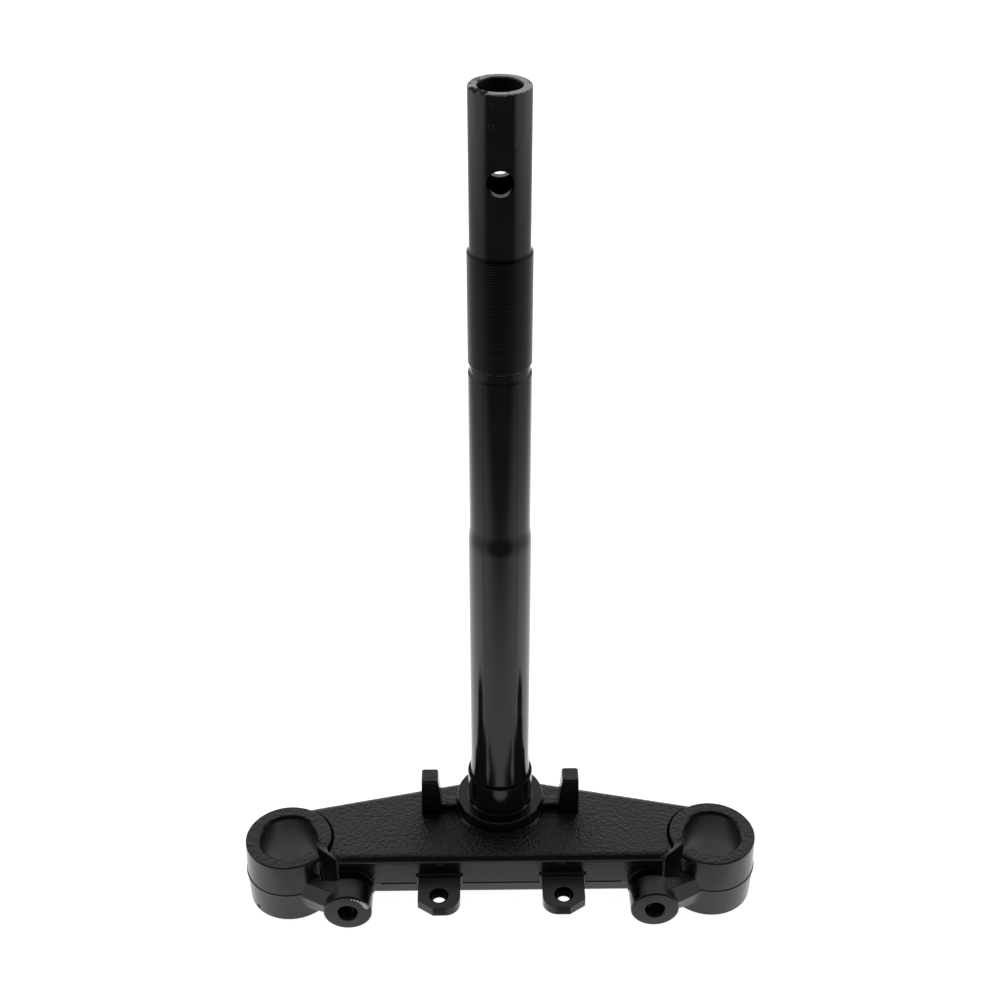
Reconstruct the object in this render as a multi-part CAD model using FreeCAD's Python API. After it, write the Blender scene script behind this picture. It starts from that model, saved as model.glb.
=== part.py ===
import FreeCAD, Part
import math
import os

from FreeCAD import Vector

# Lower triple clamp of a small motorbike: a hollow steering stem set in a cast fork yoke.
# Millimetres. The origin is on the steering axis at the collar's top, where the lower bearing sits.
# +Z runs up the stem, -Y faces the front of the bike and +X is on the right in a front view.

# Steering stem
STEM_HEIGHT = 341.6
STEM_BORE_D = 16.5
STEM_BORE_CHAMFER = 0.6
POST_D = 23.5
POST_LENGTH = 63.0
POST_CHAMFER = 0.5
CROSS_HOLE_D = 10.0
CROSS_HOLE_DROP = 33.0
CROSS_HOLE_CHAMFER = 0.4
THREAD_D = 25.4
THREAD_LENGTH = 48.0
THREAD_CHAMFER = 0.9
RELIEF_D = 23.8
RELIEF_LENGTH = 3.4
SEAT_D = 25.4
SEAT_LENGTH = 73.7
SEAT_CHAMFER = 0.7
SHANK_D = 26.5
SHANK_CHAMFER = 6.5
FOOT_D = 29.8
FOOT_HEIGHT = 15.5
FLARE_HEIGHT = 11.0
FOOT_ROOT = 0.6
COLLAR_D = 40.2
COLLAR_HEIGHT = 6.3
COLLAR_EDGE = 0.6
SPIGOT_D = 27.0
SPIGOT_CHAMFER = 1.0

# Yoke bridge
HUB_D = 42.4
HUB_PAD_HEIGHT = 1.1
HUB_PAD_EDGE = 0.8
BRIDGE_THICKNESS = 22.5
BRIDGE_FRONT = 35.0
BRIDGE_TOP_FILLET = 3.5
BRIDGE_BOTTOM_FILLET = 2.0
REAR_HUB_R = 20.1
REAR_RING_R = 18.9
PARTING_DEPTH = 15.8
UPPER_DRAFT_DEG = 2.0
LOWER_DRAFT_DEG = 8.0
FLASH_PROUD = 0.3
FLASH_HEIGHT = 0.8

# Fork clamp rings
RING_SPACING = 196.4
RING_LEAD = 21.6
RING_D = 40.6
RING_HEIGHT = 33.6
RING_PROUD = 1.5
RING_EDGE = 0.4
RING_LOWER_DRAFT_DEG = 2.0
FORK_BORE_D = 26.0
FORK_BORE_CHAMFER = 1.2

# Pinch ears
SLIT_WIDTH = 6.5
SLIT_ANGLE_DEG = 42.0
SLIT_OFFSET = 4.4
EAR_INSET = 28.2
EAR_DROP = 25.7
EAR_WIDTH = 22.0
EAR_HEIGHT = 20.5
EAR_LENGTH = 11.5
EAR_EDGE = 0.6
EAR_GAP = 3.5
PINCH_HOLE_D = 9.0
PINCH_HOLE_CHAMFER = 0.5
WEB_TOP_DROP = 16.9
WEB_BOTTOM_DROP = 33.9
WEB_BOTTOM_RISE = 3.4
WEB_FRONT_LEAD = 49.0
WEB_UPPER_LEAN = 3.0
WEB_LOWER_LEAN = 2.0
LUG_D = 23.0
LUG_TAIL_D = 8.0
LUG_LENGTH = 24.0
THREADED_HOLE_D = 6.8
THREADED_HOLE_DEPTH = 18.0

# Steering stops and their ribs
STOP_SPACING = 65.6
STOP_HEIGHT = 21.0
STOP_TOP_WIDTH = 7.6
STOP_TOP_DEPTH = 9.0
STOP_LEAD = 2.1
STOP_INNER_DRAFT = 2.3
STOP_OUTER_DRAFT = 0.6
STOP_FRONT_DRAFT = 0.6
STOP_CORNER_R = 1.2
STOP_EDGE = 0.6
RIB_HEIGHT = 3.5
RIB_DEPTH = 6.0
RIB_LEAD = 1.0
RIB_EDGE = 0.9

# Accessory tabs on the front face
TAB_SPACING = 56.8
TAB_WIDTH = 19.3
TAB_LENGTH = 19.3
TAB_THICKNESS = 4.8
TAB_CHAMFER_ALONG = 7.0
TAB_CHAMFER_BACK = 5.0
TAB_CORNER_R = 7.0
TAB_ROOT_FILLET = 1.2
TAB_BEAD_D = 2.0
TAB_HOLE_D = 6.4
TAB_HOLE_CHAMFER = 1.1
TAB_HOLE_REACH = 11.7

# Levels and places that follow from the sizes above
PAD_TOP = -COLLAR_HEIGHT
PLATE_TOP = PAD_TOP - HUB_PAD_HEIGHT
RING_TOP = PLATE_TOP + RING_PROUD
RING_BOTTOM = RING_TOP - RING_HEIGHT
PARTING = PLATE_TOP - PARTING_DEPTH
BRIDGE_BOTTOM = PLATE_TOP - BRIDGE_THICKNESS
RING_X = RING_SPACING / 2
EAR_X = RING_X - EAR_INSET
EAR_BACK = -BRIDGE_FRONT - EAR_GAP
EAR_FRONT = EAR_BACK - EAR_LENGTH
UP = Vector(0, 0, 1)
BACKWARD = Vector(0, 1, 0)


def closed_face(points):
    """Face bounded by straight lines through the points."""
    return Part.Face(Part.makePolygon(points + points[:1]))


def turned(points):
    """Solid of revolution about Z from (radius, height) points."""
    return closed_face([Vector(radius, 0, height) for radius, height in points]).revolve(Vector(), UP, 360)


def frustum(polygon, other):
    """Solid between two level counterclockwise polygons with as many corners, all its faces flat."""
    lower, upper = sorted((polygon, other), key=lambda corners: corners[0].z)
    sides = [closed_face([upper[i - 1], upper[i], lower[i], lower[i - 1]]) for i in range(len(upper))]
    return Part.Solid(Part.Shell([closed_face(upper), closed_face(lower)] + sides))


def inset(points, distance, rise):
    """Corners of a polygon whose sides lie a distance inside those of a counterclockwise one."""
    sides = []
    for start, end in zip(points, points[1:] + points[:1]):
        along = (end - start).normalize()
        sides.append((start + UP.cross(along) * distance, along))
    corners = []
    for (before, turn_in), (after, turn_out) in zip(sides[-1:] + sides, sides):
        share = (after - before).cross(turn_out).z / turn_in.cross(turn_out).z
        corners.append(before + turn_in * share + UP * rise)
    return corners


def cylinder_along_y(diameter, x, z, front, back):
    """Cylinder parallel to Y between two Y positions."""
    return Part.makeCylinder(diameter / 2, back - front, Vector(x, front, z), BACKWARD)


def countersink(diameter, chamfer, mouth, inward):
    """Cutter that chamfers a hole where it opens at a point, reaching as far outside as inside."""
    hole = diameter / 2
    return Part.makeCone(hole + 2 * chamfer, hole, 2 * chamfer, mouth - inward * chamfer, inward)


def mirrored(shape):
    """The shape's twin on the other side of the bike's middle plane."""
    return shape.mirror(Vector(), Vector(1, 0, 0))


def edges_at_height(shape, height):
    """Edges that lie wholly in the plane at the given height."""
    return [edge for edge in shape.Edges
            if all(abs(vertex.Point.z - height) < 1e-6 for vertex in edge.Vertexes)]


def steering_stem():
    """Turned hollow stem: spigot, collar, bearing foot, shank, seat, thread and handlebar post."""
    bore = STEM_BORE_D / 2
    post = POST_D / 2
    thread = THREAD_D / 2
    relief = RELIEF_D / 2
    seat = SEAT_D / 2
    shank = SHANK_D / 2
    foot = FOOT_D / 2
    spigot = SPIGOT_D / 2
    thread_top = STEM_HEIGHT - POST_LENGTH
    thread_foot = thread_top - THREAD_LENGTH
    seat_top = thread_foot - RELIEF_LENGTH
    seat_foot = seat_top - SEAT_LENGTH
    flare_top = FOOT_HEIGHT + FLARE_HEIGHT
    collar = COLLAR_D / 2
    rise = foot - shank
    flare_radius = (rise ** 2 + FLARE_HEIGHT ** 2) / (2 * rise)
    half_turn = math.asin(FLARE_HEIGHT / flare_radius) / 2
    flare_middle = Vector(shank + flare_radius * (1 - math.cos(half_turn)), 0,
                          flare_top - flare_radius * math.sin(half_turn))
    outline = [
        (shank, flare_top), (shank, seat_foot - SHANK_CHAMFER), (seat, seat_foot),
        (seat, seat_top - SEAT_CHAMFER), (relief, seat_top), (relief, thread_foot),
        (thread, thread_foot + THREAD_CHAMFER), (thread, thread_top - THREAD_CHAMFER), (post, thread_top),
        (post, STEM_HEIGHT - POST_CHAMFER), (post - POST_CHAMFER, STEM_HEIGHT),
        (bore + STEM_BORE_CHAMFER, STEM_HEIGHT), (bore, STEM_HEIGHT - STEM_BORE_CHAMFER),
        (bore, BRIDGE_BOTTOM), (spigot - SPIGOT_CHAMFER, BRIDGE_BOTTOM),
        (spigot, BRIDGE_BOTTOM + SPIGOT_CHAMFER), (spigot, PAD_TOP), (collar, PAD_TOP),
        (collar, -COLLAR_EDGE), (collar - COLLAR_EDGE, 0), (foot + FOOT_ROOT, 0), (foot, FOOT_ROOT),
        (foot, FOOT_HEIGHT),
    ]
    corners = [Vector(radius, 0, height) for radius, height in outline]
    sides = [Part.LineSegment(start, end).toShape() for start, end in zip(corners, corners[1:])]
    sides.append(Part.Arc(corners[-1], flare_middle, corners[0]).toShape())
    stem = Part.Face(Part.Wire(sides)).revolve(Vector(), UP, 360)
    hole_height = STEM_HEIGHT - CROSS_HOLE_DROP
    hole = cylinder_along_y(CROSS_HOLE_D, 0, hole_height, -POST_D, POST_D)
    front_mouth = countersink(CROSS_HOLE_D, CROSS_HOLE_CHAMFER, Vector(0, -post, hole_height), BACKWARD)
    rear_mouth = countersink(CROSS_HOLE_D, CROSS_HOLE_CHAMFER, Vector(0, post, hole_height), -BACKWARD)
    return stem.cut([hole, front_mouth, rear_mouth])


def bridge_outline(height):
    """Corners of the bridge in plan, counterclockwise: straight front, and rear edges from rings to hub."""
    reach = math.hypot(RING_X, RING_LEAD)
    normal = math.atan2(-RING_LEAD, RING_X) + math.acos((REAR_HUB_R - REAR_RING_R) / reach)
    across, along = math.cos(normal), math.sin(normal)
    right = [
        Vector(RING_X, -BRIDGE_FRONT, height),
        Vector(RING_X + REAR_RING_R * across, REAR_RING_R * along - RING_LEAD, height),
        Vector(REAR_HUB_R * across, REAR_HUB_R * along, height),
    ]
    return right + [Vector(-point.x, point.y, height) for point in reversed(right)]


def drafted(level, draft_deg):
    """Half of the bridge between the parting plane and a level, narrowing away from the plane."""
    outline = bridge_outline(PARTING)
    shrink = abs(level - PARTING) * math.tan(math.radians(draft_deg))
    return frustum(outline, inset(outline, shrink, level - PARTING))


def bridge():
    """Bridge casting: two drafted halves, the flash left at the parting line, and the stem's hub."""
    upper = drafted(PLATE_TOP, UPPER_DRAFT_DEG)
    upper = upper.makeFillet(BRIDGE_TOP_FILLET, edges_at_height(upper, PLATE_TOP))
    lower = drafted(BRIDGE_BOTTOM, LOWER_DRAFT_DEG)
    lower = lower.makeFillet(BRIDGE_BOTTOM_FILLET, edges_at_height(lower, BRIDGE_BOTTOM))
    flash = closed_face(inset(bridge_outline(PARTING), -FLASH_PROUD, -FLASH_HEIGHT / 2))
    flash = flash.extrude(UP * FLASH_HEIGHT)
    hub_r = HUB_D / 2
    hub = turned([
        (0, PAD_TOP), (hub_r - HUB_PAD_EDGE, PAD_TOP), (hub_r, PAD_TOP - HUB_PAD_EDGE),
        (hub_r, BRIDGE_BOTTOM + BRIDGE_BOTTOM_FILLET), (hub_r - BRIDGE_BOTTOM_FILLET, BRIDGE_BOTTOM),
        (0, BRIDGE_BOTTOM),
    ])
    return upper.multiFuse([lower, flash, hub])


def clamp_ring():
    """Right fork ring, solid, drafted to both sides of the parting line."""
    outer = RING_D / 2
    top = outer - (RING_TOP - PARTING) * math.tan(math.radians(UPPER_DRAFT_DEG))
    bottom = outer - (PARTING - RING_BOTTOM) * math.tan(math.radians(RING_LOWER_DRAFT_DEG))
    flash = FLASH_HEIGHT / 2
    ring = turned([
        (0, RING_TOP), (top - RING_EDGE, RING_TOP), (top, RING_TOP - RING_EDGE),
        (outer, PARTING + flash), (outer + FLASH_PROUD, PARTING + flash),
        (outer + FLASH_PROUD, PARTING - flash), (outer, PARTING - flash),
        (bottom, RING_BOTTOM + RING_EDGE), (bottom - RING_EDGE, RING_BOTTOM), (0, RING_BOTTOM),
    ])
    return ring.translated(Vector(RING_X, -RING_LEAD, 0))


def fork_bore():
    """Cutter for the right ring's bore, chamfered at both mouths."""
    bore = FORK_BORE_D / 2
    mouth = bore + FORK_BORE_CHAMFER
    cutter = turned([
        (0, RING_TOP + FORK_BORE_CHAMFER), (mouth + FORK_BORE_CHAMFER, RING_TOP + FORK_BORE_CHAMFER),
        (bore, RING_TOP - FORK_BORE_CHAMFER), (bore, RING_BOTTOM + FORK_BORE_CHAMFER),
        (mouth + FORK_BORE_CHAMFER, RING_BOTTOM - FORK_BORE_CHAMFER), (0, RING_BOTTOM - FORK_BORE_CHAMFER),
    ])
    return cutter.translated(Vector(RING_X, -RING_LEAD, 0))


def pinch_ear():
    """Right ear: the oval boss for the pinch bolt."""
    oval = Part.Ellipse(Vector(EAR_X, EAR_FRONT, -EAR_DROP), EAR_WIDTH / 2, EAR_HEIGHT / 2)
    boss = Part.Face(Part.Wire(oval.toShape()))
    boss.rotate(Vector(EAR_X, EAR_FRONT, -EAR_DROP), Vector(1, 0, 0), 90)
    boss = boss.extrude(BACKWARD * EAR_LENGTH)
    return boss.makeChamfer(EAR_EDGE, [edge for edge in boss.Edges
                                       if abs(edge.BoundBox.YMin - edge.BoundBox.YMax) < 1e-6
                                       and abs(edge.BoundBox.YMin - EAR_FRONT) < 1e-6])


def web_section(x, front, back, ridge, bottom):
    """Outline of the right web across X, with a ridge along its front."""
    outline = [
        (front, ridge), (front + WEB_UPPER_LEAN, -WEB_TOP_DROP), (back, -WEB_TOP_DROP),
        (back, bottom), (front + WEB_LOWER_LEAN, bottom), (front, ridge),
    ]
    return Part.makePolygon([Vector(x, y, z) for y, z in outline])


def pinch_web():
    """Right web from the ring's free end to the ear, its ridge dropping from the parting line to the boss."""
    ring_front = -RING_LEAD - (RING_D + FORK_BORE_D) / 4
    at_ring = web_section(RING_X, ring_front, EAR_GAP - BRIDGE_FRONT, PARTING, -WEB_BOTTOM_DROP)
    at_ear = web_section(EAR_X + EAR_WIDTH / 4, -WEB_FRONT_LEAD, -BRIDGE_FRONT, -EAR_DROP,
                         WEB_BOTTOM_RISE - WEB_BOTTOM_DROP)
    return Part.makeLoft([at_ring, at_ear], True, True)


def pinch_lug():
    """Right lug behind the ear: a cone that swells the bridge's front and underside for the thread."""
    root = Vector(EAR_X, -BRIDGE_FRONT, -EAR_DROP)
    return Part.makeCone(LUG_D / 2, LUG_TAIL_D / 2, LUG_LENGTH, root, BACKWARD)


def pinch_slit():
    """Cutter for the right ring's slit, which runs on behind the ear as a gap along the bridge's front."""
    tall = RING_HEIGHT + RING_PROUD + COLLAR_HEIGHT
    angle = math.radians(SLIT_ANGLE_DEG)
    drop_to_gap = BRIDGE_FRONT + EAR_GAP - RING_LEAD
    slit_length = (drop_to_gap + (SLIT_OFFSET - SLIT_WIDTH / 2) * math.cos(angle)) / math.sin(angle)
    slit = Part.makeBox(slit_length, SLIT_WIDTH, tall, Vector(0, -SLIT_WIDTH / 2 - SLIT_OFFSET, 0))
    slit.rotate(Vector(), UP, 180 + SLIT_ANGLE_DEG)
    slit.translate(Vector(RING_X, -RING_LEAD, RING_BOTTOM))
    gap_start = RING_X - math.sqrt((RING_D / 2) ** 2 - (BRIDGE_FRONT - RING_LEAD) ** 2)
    gap_end = EAR_X - EAR_WIDTH / 2 - EAR_GAP
    gap = Part.makeBox(gap_start - gap_end, EAR_GAP, tall, Vector(gap_end, EAR_BACK, RING_BOTTOM))
    return slit.fuse(gap)


def steering_stop():
    """Right steering stop: a drafted cast post, and the low rib that ties it to the collar."""
    inner = STOP_SPACING / 2 - STOP_TOP_WIDTH / 2
    outer = inner + STOP_TOP_WIDTH
    rear = STOP_TOP_DEPTH / 2 - STOP_LEAD
    front = rear - STOP_TOP_DEPTH
    root = PLATE_TOP - BRIDGE_TOP_FILLET
    foot = [
        Vector(inner - STOP_INNER_DRAFT, front - STOP_FRONT_DRAFT, root),
        Vector(outer + STOP_OUTER_DRAFT, front - STOP_FRONT_DRAFT, root),
        Vector(outer + STOP_OUTER_DRAFT, rear + STOP_FRONT_DRAFT, root),
        Vector(inner - STOP_INNER_DRAFT, rear + STOP_FRONT_DRAFT, root),
    ]
    crown_height = PLATE_TOP + STOP_HEIGHT
    crown = [
        Vector(inner, front, crown_height), Vector(outer, front, crown_height),
        Vector(outer, rear, crown_height), Vector(inner, rear, crown_height),
    ]
    post = frustum(foot, crown)
    post = post.makeFillet(STOP_CORNER_R, [edge for edge in post.Edges
                                           if edge.BoundBox.ZLength > STOP_HEIGHT])
    post = post.makeChamfer(STOP_EDGE, edges_at_height(post, crown_height))
    rib_inner = HUB_D / 2 - HUB_PAD_EDGE
    rib = Part.makeBox(inner + STOP_TOP_WIDTH / 2 - rib_inner, RIB_DEPTH, RIB_HEIGHT - root + PLATE_TOP,
                       Vector(rib_inner, -RIB_LEAD - RIB_DEPTH / 2, root))
    rib = rib.makeFillet(RIB_EDGE, [edge for edge in edges_at_height(rib, PLATE_TOP + RIB_HEIGHT)
                                    if edge.BoundBox.XLength > edge.BoundBox.YLength])
    return post.fuse(rib)


def accessory_tab():
    """Right tab: a flat lug at the parting line, chamfered outboard, rounded inboard, beaded at its root."""
    middle = TAB_SPACING / 2
    inner = middle - TAB_WIDTH / 2
    outer = middle + TAB_WIDTH / 2
    root = -BRIDGE_FRONT
    tip = root - TAB_LENGTH
    buried = root + BRIDGE_TOP_FILLET
    bend = Vector(inner + TAB_CORNER_R, tip + TAB_CORNER_R, PARTING)
    on_bend = bend - Vector(1, 1, 0) * (TAB_CORNER_R * math.cos(math.radians(45)))
    rest = [
        Vector(inner + TAB_CORNER_R, tip, PARTING), Vector(outer - TAB_CHAMFER_ALONG, tip, PARTING),
        Vector(outer, tip + TAB_CHAMFER_BACK, PARTING), Vector(outer, root - TAB_ROOT_FILLET, PARTING),
        Vector(outer + TAB_ROOT_FILLET, root, PARTING), Vector(outer + TAB_ROOT_FILLET, buried, PARTING),
        Vector(inner - TAB_ROOT_FILLET, buried, PARTING), Vector(inner - TAB_ROOT_FILLET, root, PARTING),
        Vector(inner, root - TAB_ROOT_FILLET, PARTING), Vector(inner, tip + TAB_CORNER_R, PARTING),
    ]
    sides = [Part.LineSegment(start, end).toShape() for start, end in zip(rest, rest[1:])]
    sides.append(Part.Arc(rest[-1], on_bend, rest[0]).toShape())
    tab = Part.Face(Part.Wire(sides)).extrude(UP * TAB_THICKNESS)
    top = PARTING + TAB_THICKNESS
    bead = Part.makeCylinder(TAB_BEAD_D / 2, TAB_WIDTH + 2 * TAB_ROOT_FILLET,
                             Vector(inner - TAB_ROOT_FILLET, root, top + TAB_BEAD_D / 5), Vector(1, 0, 0))
    mouth = Vector(middle, root - TAB_HOLE_REACH, top)
    hole = Part.makeCylinder(TAB_HOLE_D / 2, 2 * TAB_THICKNESS, mouth, -UP)
    return tab.fuse(bead).cut([hole, countersink(TAB_HOLE_D, TAB_HOLE_CHAMFER, mouth, -UP)])


def pinch_holes():
    """Cutter for the right pinch bolt: clear through the ear, chamfered in front, tapping size in the lug."""
    clear = cylinder_along_y(PINCH_HOLE_D, EAR_X, -EAR_DROP, EAR_FRONT - EAR_GAP, EAR_BACK + EAR_GAP / 2)
    tapped = cylinder_along_y(THREADED_HOLE_D, EAR_X, -EAR_DROP, EAR_BACK, THREADED_HOLE_DEPTH - BRIDGE_FRONT)
    mouth = countersink(PINCH_HOLE_D, PINCH_HOLE_CHAMFER, Vector(EAR_X, EAR_FRONT, -EAR_DROP), BACKWARD)
    return clear.multiFuse([tapped, mouth])


def lower_yoke():
    """Cast yoke: bridge, hub, fork rings, pinch ears, steering stops and accessory tabs in one piece."""
    added = [clamp_ring(), pinch_ear(), pinch_web(), pinch_lug(), steering_stop(), accessory_tab()]
    removed = [fork_bore(), pinch_slit(), pinch_holes()]
    body = bridge().multiFuse(added + [mirrored(shape) for shape in added])
    stem_hole = Part.makeCylinder(SPIGOT_D / 2, -BRIDGE_BOTTOM, Vector(0, 0, BRIDGE_BOTTOM))
    body = body.cut(removed + [mirrored(shape) for shape in removed] + [stem_hole])
    return body.removeSplitter()


def main():
    """Writes one STEP file for each piece."""
    os.makedirs("parts", exist_ok=True)
    for name, make in (("steering_stem", steering_stem), ("lower_yoke", lower_yoke)):
        shape = make()
        print(name, "valid", shape.isValid(), "solids", len(shape.Solids), "volume", round(shape.Volume))
        shape.exportStep("parts/" + name + ".step")


main()
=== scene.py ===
"""Looks of a lower triple clamp: a black steering stem in a cast fork yoke, on a white studio floor."""

import logging
import math
from collections.abc import Callable
from dataclasses import dataclass
from enum import Enum
from typing import Union

import bmesh
import bpy
from mathutils import Matrix, Vector


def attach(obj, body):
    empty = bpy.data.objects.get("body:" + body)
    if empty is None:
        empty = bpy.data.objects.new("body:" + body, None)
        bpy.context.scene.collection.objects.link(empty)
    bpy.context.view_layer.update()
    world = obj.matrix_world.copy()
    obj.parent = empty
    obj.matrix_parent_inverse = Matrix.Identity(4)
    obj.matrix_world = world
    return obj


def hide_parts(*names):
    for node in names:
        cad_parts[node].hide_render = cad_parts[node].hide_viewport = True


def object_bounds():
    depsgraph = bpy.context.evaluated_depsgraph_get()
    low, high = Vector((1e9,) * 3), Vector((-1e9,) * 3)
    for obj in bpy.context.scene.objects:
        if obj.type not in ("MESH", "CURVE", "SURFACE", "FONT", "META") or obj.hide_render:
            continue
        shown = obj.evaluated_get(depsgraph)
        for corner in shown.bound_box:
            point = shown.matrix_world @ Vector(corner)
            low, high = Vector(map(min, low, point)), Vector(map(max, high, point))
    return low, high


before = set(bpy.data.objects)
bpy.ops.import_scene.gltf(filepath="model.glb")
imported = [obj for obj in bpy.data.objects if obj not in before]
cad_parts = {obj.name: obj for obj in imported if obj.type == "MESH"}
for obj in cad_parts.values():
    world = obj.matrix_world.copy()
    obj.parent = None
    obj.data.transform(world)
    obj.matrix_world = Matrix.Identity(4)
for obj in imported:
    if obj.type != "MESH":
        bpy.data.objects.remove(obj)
CAD_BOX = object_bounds()

MM = 0.001
SMOOTH_DEG = 32.0
log = logging.getLogger("lower_triple_clamp")

Socket = bpy.types.NodeSocket
Value = Union[float, tuple, Socket]
Colour = tuple[float, float, float, float]
Span = tuple[float, float]
Profile = list[tuple[float, float]]


class Node(Enum):
    """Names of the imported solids."""

    STEM = "steering_stem"
    YOKE = "lower_yoke"


class Slot(Enum):
    """Names of the record's material slots."""

    STEM = "stem_paint"
    YOKE = "yoke_paint"


class Effect(Enum):
    """Names of the shader node groups that the finishes share."""

    PAINT_SKIN = "paint_skin"
    WORN_SPOT = "worn_spot"


class Board:
    """Adds and links nodes in one node tree."""

    def __init__(self, tree: bpy.types.NodeTree) -> None:
        """Takes the tree to work on."""
        self.tree = tree

    def feed(self, socket: Socket, value: Value) -> None:
        """Links a socket into another one, or sets it to a plain value.

        Args:
            socket: the input to fill.
            value: an output to link, or a number, colour or vector.
        """
        if isinstance(value, bpy.types.NodeSocket):
            self.tree.links.new(value, socket)
        else:
            socket.default_value = value

    def add(self, kind: str, inputs: dict[str, Value] | None = None, **settings: object) -> bpy.types.Node:
        """Adds a node.

        Args:
            kind: the node's type name.
            inputs: values or links by socket name.
            settings: the node's own properties.

        Returns:
            The new node.
        """
        node = self.tree.nodes.new(kind)
        for name, setting in settings.items():
            setattr(node, name, setting)
        for name, value in (inputs or {}).items():
            self.feed(node.inputs[name], value)
        return node

    def group(self, effect: Effect, inputs: dict[str, Value]) -> bpy.types.Node:
        """Adds one of the shared node groups."""
        return self.add("ShaderNodeGroup", inputs, node_tree=bpy.data.node_groups[effect.value])

    def axis(self, vector: Socket, name: str) -> Socket:
        """One of a vector's X, Y and Z."""
        return self.add("ShaderNodeSeparateXYZ", {"Vector": vector}).outputs[name]

    def maths(self, operation: str, first: Value, second: Value = 0.0) -> Socket:
        """Works out a number from one or two others.

        Args:
            operation: the math node's operation.
            first: its first value.
            second: its second value, where the operation has one.

        Returns:
            The result.
        """
        node = self.add("ShaderNodeMath", operation=operation)
        self.feed(node.inputs[0], first)
        self.feed(node.inputs[1], second)
        return node.outputs[0]

    def vector_maths(self, operation: str, first: Value, second: Value) -> bpy.types.Node:
        """Works out a vector or a length from two vectors.

        Args:
            operation: the vector math node's operation.
            first: its first vector.
            second: its second vector.

        Returns:
            The node, for its Vector or its Value.
        """
        node = self.add("ShaderNodeVectorMath", operation=operation)
        self.feed(node.inputs[0], first)
        self.feed(node.inputs[1], second)
        return node

    def plus(self, base: Value, mask: Socket, amount: float) -> Socket:
        """A value with an amount added where a mask is 1."""
        return self.maths("ADD", base, self.maths("MULTIPLY", mask, amount))

    def without(self, mask: Socket) -> Socket:
        """The mask of everything else."""
        return self.maths("SUBTRACT", 1.0, mask)

    def product(self, masks: list[Socket]) -> Socket:
        """Multiplies several masks.

        Args:
            masks: the masks.

        Returns:
            A value that is 1 where all of them are.
        """
        result = masks[0]
        for mask in masks[1:]:
            result = self.maths("MULTIPLY", result, mask)
        return result

    def either(self, masks: list[Socket]) -> Socket:
        """Joins several masks.

        Args:
            masks: the masks.

        Returns:
            The largest of them at each point.
        """
        result = masks[0]
        for mask in masks[1:]:
            result = self.maths("MAXIMUM", result, mask)
        return result

    def ramp(self, value: Value, low: float, high: float, start: float = 0.0, end: float = 1.0) -> Socket:
        """Changes smoothly from one number to another.

        Args:
            value: what the change follows.
            low: the value at its start.
            high: the value at its end.
            start: the number there at first.
            end: the number there at last.

        Returns:
            The changing number.
        """
        node = self.add("ShaderNodeMapRange", interpolation_type="SMOOTHSTEP")
        for name, number in (("From Min", low), ("From Max", high), ("To Min", start), ("To Max", end)):
            node.inputs[name].default_value = number
        self.feed(node.inputs["Value"], value)
        return node.outputs["Result"]

    def within(self, length: Socket, edge: float, soft: float) -> Socket:
        """Mask of lengths under an edge, which fades out past it; edge and softness in millimetres."""
        return self.ramp(length, MM * (edge + soft), MM * edge)

    def beyond(self, length: Socket, edge: float, soft: float) -> Socket:
        """Mask of lengths over an edge, which fades in before it; edge and softness in millimetres."""
        return self.ramp(length, MM * (edge - soft), MM * edge)

    def noise(self, place: Socket, per_mm: float, detail: float = 2.0, rough: float = 0.5) -> Socket:
        """Adds noise.

        Args:
            place: the surface point in metres.
            per_mm: number of lumps to the millimetre.
            detail: octaves of finer noise.
            rough: how strong the finer noise is.

        Returns:
            The noise, from 0 to 1.
        """
        settings = {"Vector": place, "Scale": per_mm / MM, "Detail": detail, "Roughness": rough}
        return self.add("ShaderNodeTexNoise", settings).outputs["Fac"]

    def blend(self, share: Value, first: Value, second: Value) -> Socket:
        """Mixes two colours.

        Args:
            share: how much of the second there is.
            first: the colour at 0.
            second: the colour at 1.

        Returns:
            The mixed colour.
        """
        node = self.add("ShaderNodeMix", data_type="RGBA")
        self.feed(node.inputs[0], share)
        self.feed(node.inputs[6], first)
        self.feed(node.inputs[7], second)
        return node.outputs[2]


def new_group(effect: Effect, inputs: dict[str, str], outputs: list[str]) -> tuple[Board, dict, dict]:
    """Starts a shader node group with named sockets.

    Args:
        effect: the group's name.
        inputs: socket type names by input name.
        outputs: names of the outputs, all plain values.

    Returns:
        The board, the group's inputs as sockets to read, and its outputs as sockets to feed.
    """
    tree = bpy.data.node_groups.new(effect.value, "ShaderNodeTree")
    for name, kind in inputs.items():
        tree.interface.new_socket(name, in_out="INPUT", socket_type=kind)
    for name in outputs:
        tree.interface.new_socket(name, in_out="OUTPUT", socket_type="NodeSocketFloat")
    board = Board(tree)
    start = board.add("NodeGroupInput")
    end = board.add("NodeGroupOutput")
    return board, {name: start.outputs[name] for name in inputs}, {name: end.inputs[name] for name in outputs}


def make_paint_skin() -> None:
    """Group: the slight waviness and dull patches of brushed or dipped gloss paint."""
    board, given, wanted = new_group(
        Effect.PAINT_SKIN,
        {"Place": "NodeSocketVector", "Gloss": "NodeSocketFloat", "Dulling": "NodeSocketFloat"},
        ["Height", "Roughness"],
    )
    waves = board.noise(given["Place"], per_mm=0.35, detail=3.0)
    dust = board.ramp(board.noise(given["Place"], per_mm=1.4), low=0.68, high=0.75)
    board.feed(wanted["Height"], board.plus(waves, dust, amount=0.25))
    patches = board.ramp(board.noise(given["Place"], per_mm=0.06, detail=4.0, rough=0.6), low=0.35, high=0.75)
    dull = board.maths("MULTIPLY", patches, given["Dulling"])
    board.feed(wanted["Roughness"], board.maths("ADD", given["Gloss"], dull))


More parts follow.
